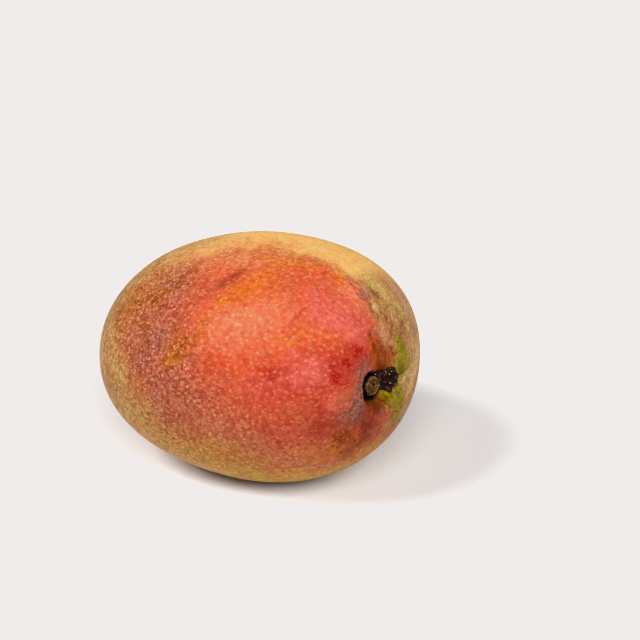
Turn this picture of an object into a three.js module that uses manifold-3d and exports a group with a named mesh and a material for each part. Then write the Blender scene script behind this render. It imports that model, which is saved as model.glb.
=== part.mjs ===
// A ripe mango lying on its flatter cheek. Millimetres, +Z up, the stem end toward +X.
// The fruit is one solid. The woody stem button sits in the stem cavity, and a crust of dried
// sap clings to the far wall of that cavity.

import * as THREE from 'three';
import { mergeVertices } from 'three/addons/utils/BufferGeometryUtils.js';
import Module from 'manifold-3d';

const wasm = await Module();
wasm.setup();

// Body: half the length (X), half the width (Y) and half the thickness between the cheeks (Z).
const HALF_LENGTH = 59;
const HALF_WIDTH = 52;
const HALF_THICKNESS = 40.5;
// 2 would be a plain ellipsoid, more is plumper.
const PLUMPNESS = 2.1;
// The stem end is this share thicker than the middle, and the tip that much thinner.
const THICKNESS_TAPER = 0.04;
// Midline: both ends swing to the -Y side and rise, and the stem end does so more than the tip.
const SIDE_BEND = 5;
const STEM_BEND = 8;
const END_LIFT = 1;
const STEM_LIFT = 3;

// The flat that the fruit rests on is cut this far above its lowest point.
const REST_FLAT_DEPTH = 0.8;

// Where the stem was, as a direction from the fruit's middle.
const STEM_DIRECTION = new THREE.Vector3(0.982, -0.17, 0.08).normalize();

// Stem cavity: a floor around the button, a wall that climbs to the rim over a different reach on
// each side, and a wide shallow dip of the shoulders around it.
const CAVITY_DEPTH = 3;
const CAVITY_FLOOR_RADIUS = 4;
const CAVITY_REACH = { near: 9, far: 11, above: 7.5, below: 5.5 };
const SHOULDER_DIP = 0.6;
const SHOULDER_REACH = 14;

// The tip scar: a small dimple at the end away from the stem, low on the -Y side.
const TIP_DIRECTION = new THREE.Vector3(-0.93, -0.28, -0.24).normalize();
const TIP_DEPTH = 0.7;
const TIP_REACH = 3;

// Stem button: a round woody disc with a raised rim and a small pith hole, seated in a socket.
const BUTTON_RADIUS = 3.4;
const BUTTON_THICKNESS = 2.6;
const BUTTON_EDGE = 0.5;
const BUTTON_RIM_WIDTH = 1.1;
const BUTTON_DISH = 0.5;
const PITH_RADIUS = 0.55;
const PITH_DEPTH = 0.9;
const SOCKET_DEPTH = 1.2;
const CLEARANCE = 0.3;

// Sap crust: a knobbly patch on the skin. Its middle and its half spans are steps of direction
// from the stem, across (Y) and upward (Z).
const CRUST_MIDDLE = new THREE.Vector2(0.165, 0.034);
const CRUST_HALF_SPAN = new THREE.Vector2(0.07, 0.1);
const CRUST_THICKNESS = 1.6;
const CRUST_GAP = 0.4;
const CRUST_KNOBS = 5;
const CRUST_KNOB_HEIGHT = 0.25;

const BODY_SEGMENTS = 64;
const BODY_RINGS = 54;
// The body's rings crowd toward the stem by this power.
const RING_CROWDING = 1.45;

// A position-only unit sphere with merged vertices and its poles on the X axis.
function ball(segments, rings) {
  return bare(new THREE.SphereGeometry(1, segments, rings).rotateZ(-Math.PI / 2));
}

// Leaves only the positions of a geometry, with its shared vertices merged.
function bare(geometry) {
  geometry.deleteAttribute('normal');
  geometry.deleteAttribute('uv');
  return mergeVertices(geometry);
}

// Moves every vertex of a geometry to where shape(vertex) says.
function reshape(geometry, shape) {
  const position = geometry.getAttribute('position');
  const vertex = new THREE.Vector3();
  for (let i = 0; i < position.count; i += 1) {
    const moved = shape(vertex.fromBufferAttribute(position, i));
    position.setXYZ(i, moved.x, moved.y, moved.z);
  }
  return geometry;
}

// The plump body without its cavity, for a unit direction from the fruit's middle.
function bodyPoint(direction) {
  const power = (value) => Math.abs(value) ** PLUMPNESS;
  const size = (power(direction.x) + power(direction.y) + power(direction.z)) ** (1 / PLUMPNESS);
  const { x: along, y: across, z: upward } = direction.clone().divideScalar(size);
  return new THREE.Vector3(
    HALF_LENGTH * along,
    HALF_WIDTH * across - SIDE_BEND * along ** 2 - STEM_BEND * along ** 3,
    HALF_THICKNESS * upward * (1 + THICKNESS_TAPER * along)
      + END_LIFT * along ** 2 + STEM_LIFT * along ** 3,
  );
}

// The outward normal of a surface near the stem, from two short steps along it.
function normalOf(surface, direction) {
  const step = 0.002;
  const here = surface(direction);
  const across = surface(direction.clone().add(new THREE.Vector3(0, step, 0)).normalize());
  const upward = surface(direction.clone().add(new THREE.Vector3(0, 0, step)).normalize());
  return across.sub(here).cross(upward.sub(here)).normalize();
}

// The stem's own frame: its axis points out of the fruit, across leans to +Y, up to +Z.
const stemPlace = bodyPoint(STEM_DIRECTION);
const stemAxis = normalOf(bodyPoint, STEM_DIRECTION);
const stemUp = new THREE.Vector3().crossVectors(stemAxis, new THREE.Vector3(0, 1, 0)).normalize();
const stemAcross = new THREE.Vector3().crossVectors(stemUp, stemAxis);
const tipPlace = bodyPoint(TIP_DIRECTION);

// How deep the stem cavity is at a distance across and up from the stem's axis.
function cavityDepth(across, up) {
  const distance = Math.hypot(across, up);
  const dip = SHOULDER_DIP * Math.exp(-((distance / SHOULDER_REACH) ** 2));
  if (distance <= CAVITY_FLOOR_RADIUS) {
    return CAVITY_DEPTH + dip;
  }
  const reachAcross = across < 0 ? CAVITY_REACH.near : CAVITY_REACH.far;
  const reachUp = up < 0 ? CAVITY_REACH.below : CAVITY_REACH.above;
  const rim = distance / Math.hypot(across / reachAcross, up / reachUp);
  return dip + CAVITY_DEPTH * (1 - THREE.MathUtils.smoothstep(distance, CAVITY_FLOOR_RADIUS, rim));
}

// The skin: the body with its stem cavity and its tip dimple.
function skinPoint(direction) {
  const point = bodyPoint(direction);
  if (direction.x > 0) {
    const offset = point.clone().sub(stemPlace);
    const depth = cavityDepth(offset.dot(stemAcross), offset.dot(stemUp));
    return point.addScaledVector(stemAxis, -depth);
  }
  point.x += TIP_DEPTH * Math.exp(-((point.distanceTo(tipPlace) / TIP_REACH) ** 2));
  return point;
}

// Turns a geometry built along +X onto the stem's axis, starting this far below the cavity floor.
function seatOnStem(geometry, sink) {
  const seat = skinPoint(STEM_DIRECTION).addScaledVector(stemAxis, -sink);
  const turn = new THREE.Matrix4().makeBasis(stemAxis, stemAcross, stemUp).setPosition(seat);
  return geometry.applyMatrix4(turn);
}

function toSolid(geometry) {
  return new wasm.Manifold(new wasm.Mesh({
    numProp: 3,
    vertProperties: new Float32Array(geometry.getAttribute('position').array),
    triVerts: new Uint32Array(geometry.getIndex().array),
  }));
}

function toGeometry(solid) {
  const mesh = solid.getMesh();
  const geometry = new THREE.BufferGeometry();
  geometry.setAttribute('position', new THREE.BufferAttribute(mesh.vertProperties, 3));
  geometry.setIndex(new THREE.BufferAttribute(mesh.triVerts, 1));
  geometry.computeVertexNormals();
  return geometry;
}

// The skin's solid, less the flat that it rests on and the socket of the stem button.
function fruitGeometry() {
  const turnToStem = new THREE.Quaternion().setFromUnitVectors(
    new THREE.Vector3(1, 0, 0),
    STEM_DIRECTION,
  );
  const skin = reshape(ball(BODY_SEGMENTS, BODY_RINGS), (vertex) => {
    const polar = vertex.angleTo(new THREE.Vector3(1, 0, 0));
    const crowded = Math.PI * (polar / Math.PI) ** RING_CROWDING;
    const round = new THREE.Vector3(0, vertex.y, vertex.z).setLength(Math.sin(crowded));
    round.x = Math.cos(crowded);
    return skinPoint(round.applyQuaternion(turnToStem));
  });
  skin.computeBoundingBox();

  const table = new THREE.BoxGeometry(4 * HALF_LENGTH, 4 * HALF_WIDTH, HALF_THICKNESS);
  table.translate(0, 0, skin.boundingBox.min.z + REST_FLAT_DEPTH - HALF_THICKNESS / 2);

  const socketRadius = BUTTON_RADIUS + CLEARANCE;
  const socket = new THREE.CylinderGeometry(socketRadius, socketRadius, 2 * SOCKET_DEPTH, 36);
  seatOnStem(socket.rotateZ(-Math.PI / 2), 0);

  const fruit = toSolid(skin).subtract(toSolid(bare(table))).subtract(toSolid(bare(socket)));
  return toGeometry(fruit);
}

// Revolved about the stem's axis: flat base, rounded rim, dished face, pith hole.
function buttonGeometry() {
  const face = BUTTON_THICKNESS - BUTTON_DISH;
  const profile = new THREE.Path();
  profile.moveTo(0, 0);
  profile.lineTo(BUTTON_RADIUS - BUTTON_EDGE, 0);
  profile.lineTo(BUTTON_RADIUS, BUTTON_EDGE);
  profile.lineTo(BUTTON_RADIUS, BUTTON_THICKNESS - BUTTON_EDGE);
  profile.quadraticCurveTo(
    BUTTON_RADIUS,
    BUTTON_THICKNESS,
    BUTTON_RADIUS - BUTTON_EDGE,
    BUTTON_THICKNESS,
  );
  profile.lineTo(BUTTON_RADIUS - BUTTON_RIM_WIDTH, face);
  profile.lineTo(PITH_RADIUS, face);
  profile.lineTo(PITH_RADIUS, face - PITH_DEPTH);
  profile.lineTo(0, face - PITH_DEPTH);
  const geometry = new THREE.LatheGeometry(profile.getPoints(4), 36);
  return seatOnStem(geometry.rotateZ(-Math.PI / 2), SOCKET_DEPTH - CLEARANCE);
}

// A flattened ball laid on the skin: its under side keeps the gap, its upper side is knobbly.
function crustGeometry() {
  return reshape(ball(30, 18), (vertex) => {
    const angle = Math.atan2(vertex.z, vertex.y);
    const height = Math.max(vertex.x, 0);
    const knob = 1 + CRUST_KNOB_HEIGHT * Math.cos(CRUST_KNOBS * angle) * (1 - height);
    const direction = STEM_DIRECTION.clone().add(new THREE.Vector3(
      0,
      CRUST_MIDDLE.x + CRUST_HALF_SPAN.x * vertex.y,
      CRUST_MIDDLE.y + CRUST_HALF_SPAN.y * vertex.z,
    )).normalize();
    const lift = CRUST_GAP + CRUST_THICKNESS * height * knob;
    return skinPoint(direction).addScaledVector(normalOf(skinPoint, direction), lift);
  });
}

const pieces = [
  ['mango_fruit', fruitGeometry(), { color: 0xc8623f, roughness: 0.45, metalness: 0 }],
  ['stem_button', buttonGeometry(), { color: 0x8f7f5c, roughness: 0.8, metalness: 0 }],
  ['sap_crust', crustGeometry(), { color: 0x2c1d1f, roughness: 0.6, metalness: 0 }],
];

// The origin lies under the middle of the whole part, on the face that it rests on.
const bounds = new THREE.Box3();
for (const [, geometry] of pieces) {
  geometry.computeBoundingBox();
  bounds.union(geometry.boundingBox);
}
const origin = bounds.getCenter(new THREE.Vector3()).setZ(bounds.min.z);

const mango = new THREE.Group();
for (const [name, geometry, look] of pieces) {
  const mesh = new THREE.Mesh(geometry, new THREE.MeshStandardMaterial(look));
  mesh.name = name;
  mesh.position.copy(origin).negate();
  mango.add(mesh);
}

export default mango;
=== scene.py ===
import math

import bmesh
import bpy
import numpy as np
from mathutils import Matrix, Vector, noise
from mathutils.bvhtree import BVHTree


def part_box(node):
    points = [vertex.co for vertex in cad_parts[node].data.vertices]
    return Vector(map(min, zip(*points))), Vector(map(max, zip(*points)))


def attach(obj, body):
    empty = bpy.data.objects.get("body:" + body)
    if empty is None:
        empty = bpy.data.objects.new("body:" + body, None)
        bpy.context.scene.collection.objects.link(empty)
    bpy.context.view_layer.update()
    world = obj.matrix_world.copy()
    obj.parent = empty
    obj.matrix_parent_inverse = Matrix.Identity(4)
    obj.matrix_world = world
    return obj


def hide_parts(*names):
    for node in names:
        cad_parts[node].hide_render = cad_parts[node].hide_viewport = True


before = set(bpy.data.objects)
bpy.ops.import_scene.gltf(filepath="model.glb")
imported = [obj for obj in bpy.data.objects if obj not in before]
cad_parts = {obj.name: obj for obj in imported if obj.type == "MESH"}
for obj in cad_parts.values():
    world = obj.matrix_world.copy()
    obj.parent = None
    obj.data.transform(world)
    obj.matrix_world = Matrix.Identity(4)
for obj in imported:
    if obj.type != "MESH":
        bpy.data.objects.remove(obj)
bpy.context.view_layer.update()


# ---------------------------------------------------------------------------------------------
# The fruit: one plump, lopsided drupe that lies on its flatter cheek, grown as one piece.
# Waxy golden skin under a red blush, with pale pores. It has a stem cavity, a tip scar and a
# small flat where its own weight has pressed the cheek.
# ---------------------------------------------------------------------------------------------
MM = 0.001
HALF_LENGTH = 59
HALF_WIDTH = 52
HALF_THICKNESS = 40.5
PLUMPNESS = 2.1
THICKNESS_TAPER = 0.04
SIDE_BEND = 5
STEM_BEND = 8
END_LIFT = 1
STEM_LIFT = 3
REST_FLAT_DEPTH = 0.8
STEM_DIRECTION = Vector((0.982, -0.17, 0.08)).normalized()
SKIN_SEGMENTS = 360
SKIN_RINGS = 250
RING_CROWDING = 1.35


def body_point(direction):
    """The plump body without its cavity, in millimetres, for a unit direction from its middle."""
    size = sum(abs(value) ** PLUMPNESS for value in direction) ** (1 / PLUMPNESS)
    along, across, upward = (value / size for value in direction)
    return Vector((
        HALF_LENGTH * along,
        HALF_WIDTH * across - SIDE_BEND * along**2 - STEM_BEND * along**3,
        HALF_THICKNESS * upward * (1 + THICKNESS_TAPER * along)
        + END_LIFT * along**2 + STEM_LIFT * along**3,
    ))


STEM_STEP = 0.002
stem_place = body_point(STEM_DIRECTION)
step_across = body_point((STEM_DIRECTION + Vector((0, STEM_STEP, 0))).normalized()) - stem_place
step_up = body_point((STEM_DIRECTION + Vector((0, 0, STEM_STEP))).normalized()) - stem_place
stem_axis = step_across.cross(step_up).normalized()
stem_up = stem_axis.cross(Vector((0, 1, 0))).normalized()
stem_across = stem_up.cross(stem_axis)

CAVITY_DEPTH = 3.3
CAVITY_FLOOR = 3.9
NEAR_LEDGE = 1.1
CAVITY_NEAR = 7.4
CAVITY_FAR = 10.5
CAVITY_ABOVE = 7
CAVITY_BELOW = 6.6
CAVITY_SQUARENESS = 2.6
SHOULDER_DIP = 0.6
SHOULDER_REACH = 14
MOAT_DEPTH = 1.2
MOAT_PLACE = 4.5
MOAT_REACH = 0.9
MOAT_AWAY_FROM = math.radians(20)
FURROW_DEPTH = 0.35
FURROWS_ROUND = 5
FURROW_DRIFT = 0.15


def soft_step(value, low, high):
    """0 up to low and 1 from high, with a smooth rise between."""
    share = min(max((value - low) / (high - low), 0), 1)
    return share * share * (3 - 2 * share)


def cavity_depth(across, up):
    """How deep the skin sinks round the stem: shoulder, furrowed wall and a moat at the button."""
    distance = math.hypot(across, up)
    angle = math.atan2(up, across)
    nearness = 0.5 - 0.5 * math.cos(angle - MOAT_AWAY_FROM)
    depth = SHOULDER_DIP * math.exp(-((distance / SHOULDER_REACH) ** 2))
    depth += MOAT_DEPTH * nearness * math.exp(-(((distance - MOAT_PLACE) / MOAT_REACH) ** 2))
    if distance <= CAVITY_FLOOR:
        return depth + CAVITY_DEPTH
    reach_across = CAVITY_NEAR if across < 0 else CAVITY_FAR
    reach_up = CAVITY_BELOW if up < 0 else CAVITY_ABOVE
    share = abs(across / reach_across) ** CAVITY_SQUARENESS
    share += abs(up / reach_up) ** CAVITY_SQUARENESS
    rim = distance / share ** (1 / CAVITY_SQUARENESS)
    wall = 1 - soft_step(distance, CAVITY_FLOOR + NEAR_LEDGE * nearness, rim)
    furrow = noise.noise(Vector((
        math.cos(angle) * FURROWS_ROUND, math.sin(angle) * FURROWS_ROUND, distance * FURROW_DRIFT
    )))
    return depth + CAVITY_DEPTH * wall + FURROW_DEPTH * furrow * 4 * wall * (1 - wall)


TIP_DIRECTION = Vector((-0.93, -0.28, -0.24)).normalized()
TIP_DEPTH = 0.7
TIP_REACH = 3
UNDULATION = 0.35
UNDULATION_SIZE = 28

tip_place = body_point(TIP_DIRECTION)
turn_to_stem = Vector((0, 0, 1)).rotation_difference(STEM_DIRECTION).to_matrix()


def smooth_faces(shape):
    """Turns a shape's faces outwards and shades them smoothly."""
    bmesh.ops.recalc_face_normals(shape, faces=shape.faces)
    for face in shape.faces:
        face.smooth = True


def finished_piece(name, shape):
    """An object at the origin, made from a finished shape."""
    data = bpy.data.meshes.new(name)
    shape.to_mesh(data)
    shape.free()
    piece = bpy.data.objects.new(name, data)
    bpy.context.scene.collection.objects.link(piece)
    return piece


def keep_on(piece, name, values):
    """Keeps three numbers at each point of a piece, for its material to read."""
    layer = piece.data.attributes.new(name, "FLOAT_VECTOR", "POINT")
    layer.data.foreach_set("vector", values.astype(np.float32).ravel())


fruit_mesh = bmesh.new()
bmesh.ops.create_uvsphere(
    fruit_mesh, u_segments=SKIN_SEGMENTS, v_segments=SKIN_RINGS, radius=1
)
polar = []
turned = []
for vertex in fruit_mesh.verts:
    crowded = math.pi * (vertex.co.angle(Vector((0, 0, 1))) / math.pi) ** RING_CROWDING
    round_stem = math.atan2(vertex.co.y, vertex.co.x)
    polar.append(crowded)
    turned.append(round_stem)
    direction = turn_to_stem @ Vector((
        math.sin(crowded) * math.cos(round_stem),
        math.sin(crowded) * math.sin(round_stem),
        math.cos(crowded),
    ))
    point = body_point(direction)
    offset = point - stem_place
    swell = UNDULATION * noise.noise(point / UNDULATION_SIZE)
    if direction.x > 0:
        across, up = offset.dot(stem_across), offset.dot(stem_up)
        point -= stem_axis * cavity_depth(across, up)
        swell *= soft_step(offset.length, CAVITY_FLOOR, SHOULDER_REACH)
    else:
        point.x += TIP_DEPTH * math.exp(-(((point - tip_place).length / TIP_REACH) ** 2))
    vertex.co = point + direction * swell

fruit_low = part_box("mango_fruit")[0]
bottom = min(vertex.co.z for vertex in fruit_mesh.verts) + REST_FLAT_DEPTH
# The skin's own millimetres are moved so that it lies where the solid one does.
ORIGIN_SHIFT = Vector((
    fruit_low.x / MM - min(vertex.co.x for vertex in fruit_mesh.verts),
    fruit_low.y / MM - min(vertex.co.y for vertex in fruit_mesh.verts),
    -bottom,
))
for vertex in fruit_mesh.verts:
    vertex.co += ORIGIN_SHIFT
    vertex.co.z = max(vertex.co.z, 0)
stem_place += ORIGIN_SHIFT
stem_floor = stem_place - stem_axis * (CAVITY_DEPTH + SHOULDER_DIP)
smooth_faces(fruit_mesh)
fruit_mesh.normal_update()
skin_tree = BVHTree.FromBMesh(fruit_mesh)
places = np.array([vertex.co for vertex in fruit_mesh.verts])

# Where the colours lie. A patch is a soft oval on the skin: its middle in millimetres, its two
# reaches, and how far its long way is turned from the line to the stem, in degrees.
BODY_MIDDLE = Vector((0, 0, HALF_THICKNESS)) + Vector((ORIGIN_SHIFT.x, 0, 0))
PATCH_DEPTH = 1.5
WANDER_SIZE = 9
RIPPLE_SIZE = 2.4
RAGGED_WANDER = 9
RAGGED_RIPPLE = 3


def patch(middle, along, around, turn=0):
    """A soft oval over the whole skin: 1 at its middle and falling away all round."""
    middle = Vector(middle)
    outward = middle - BODY_MIDDLE
    outward = Vector((
        outward.x / HALF_LENGTH**2, outward.y / HALF_WIDTH**2, outward.z / HALF_THICKNESS**2
    )).normalized()
    to_stem = stem_place - middle
    to_stem = (to_stem - outward * to_stem.dot(outward)).normalized()
    aside = outward.cross(to_stem)
    long_way = to_stem * math.cos(math.radians(turn)) + aside * math.sin(math.radians(turn))
    short_way = outward.cross(long_way)
    away = places - np.array(middle)
    spread = (away @ np.array(long_way) / along) ** 2
    spread += (away @ np.array(short_way) / around) ** 2
    spread += (away @ np.array(outward) / (PATCH_DEPTH * max(along, around))) ** 2
    return np.exp(-spread)


def soft_edge(values, low, high):
    """The same smooth rise, for many values at once."""
    share = np.clip((values - low) / (high - low), 0, 1)
    return share * share * (3 - 2 * share)


x, y, z = places.T
from_stem = places - np.array(stem_place)
stem_a = from_stem @ np.array(stem_across)
stem_u = from_stem @ np.array(stem_up)
# The tip end lies on the stem's line too, so it is sent far away.
stem_distance = np.hypot(stem_a, stem_u) + HALF_LENGTH * (x < 0)

wander = np.array([noise.noise(Vector(place) / WANDER_SIZE) for place in places])
ripple = np.array([noise.noise(Vector(place) / RIPPLE_SIZE) for place in places])
ragged_y = y + RAGGED_WANDER * wander + RAGGED_RIPPLE * ripple

# The blush: how far over the top it reaches, how low it comes, and how it thins to the tip.
# Under the stem the red reaches further round, and beside it the bare ground comes in.
FAR_BORDER = (
    (-50, -33), (-42, -32), (-30, -28), (-18, -20), (-6, -7.8), (4, -4.8), (14, -3.4), (26, -2),
    (33, -1.5), (38, -2.5), (42, -5.5), (46, -8.5), (50, -12.5), (54, -15.5), (58, -18),
)
FAR_FADE = ((-30, 20), (-6, 24), (10, 18), (22, 9), (32, 5.0), (45, 3.8))
LOW_BORDER = (
    (-44, 63), (-34, 58), (-28, 52), (-20, 42), (-10, 34.5), (0, 31), (8, 29), (20, 27.5),
    (35, 20), (46, 20), (52, 24.5), (58, 25),
)
LOW_FADE = ((-40, 14), (0, 19), (20, 19), (40, 11), (50, 4.5))
STRENGTH = ((-52, 0), (-45, 0.28), (-38, 0.5), (-28, 0.7), (-10, 0.88), (20, 1))
BORDER_WANDER = 2.2
BORDER_RIPPLE = 1.1
LOW_WANDER = 5
UNDER_STEM_FROM = 40
UNDER_STEM_BELOW = 40
UNDER_STEM_MOST = 16
UNDER_STEM_SLOPE = 0.95
BESIDE_STEM_ALONG = (48, 53)
BESIDE_STEM_HEIGHT = (43, 50)
BESIDE_STEM_BELOW = 61
BESIDE_STEM_MOST = 6
BESIDE_STEM_SLOPE = 1.25


def along_length(steps):
    """A value that changes along the fruit, from pairs of a place along it and the value."""
    return np.interp(x, *zip(*steps))


def painted(base, *patches):
    """A map over the skin: an even value, and soft ovals of a given strength added to it."""
    total = np.full(len(places), float(base))
    for strength, *oval in patches:
        total += strength * patch(*oval)
    return total


def low_down(full, none):
    """1 below the height full, fading to 0 at the height none."""
    return soft_edge(-z, -none, -full)


under_stem = np.clip(UNDER_STEM_BELOW - z, 0, UNDER_STEM_MOST)
beyond = y - along_length(FAR_BORDER) - UNDER_STEM_SLOPE * under_stem * (x > UNDER_STEM_FROM)
beside_stem = BESIDE_STEM_SLOPE * np.clip(BESIDE_STEM_BELOW - z, 0, BESIDE_STEM_MOST)
beyond += beside_stem * soft_edge(z, *BESIDE_STEM_HEIGHT) * soft_edge(x, *BESIDE_STEM_ALONG)
beyond += BORDER_WANDER * wander + BORDER_RIPPLE * ripple
blush = 1 - soft_edge(beyond / along_length(FAR_FADE), -1, 1)
above_border = z + LOW_WANDER * wander - along_length(LOW_BORDER)
blush *= soft_edge(above_border / along_length(LOW_FADE), -1, 1)
blush *= along_length(STRENGTH)
stem_round = np.arctan2(stem_u, stem_a)
stem_near = 0.5 - 0.5 * np.cos(stem_round - MOAT_AWAY_FROM)

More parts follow.
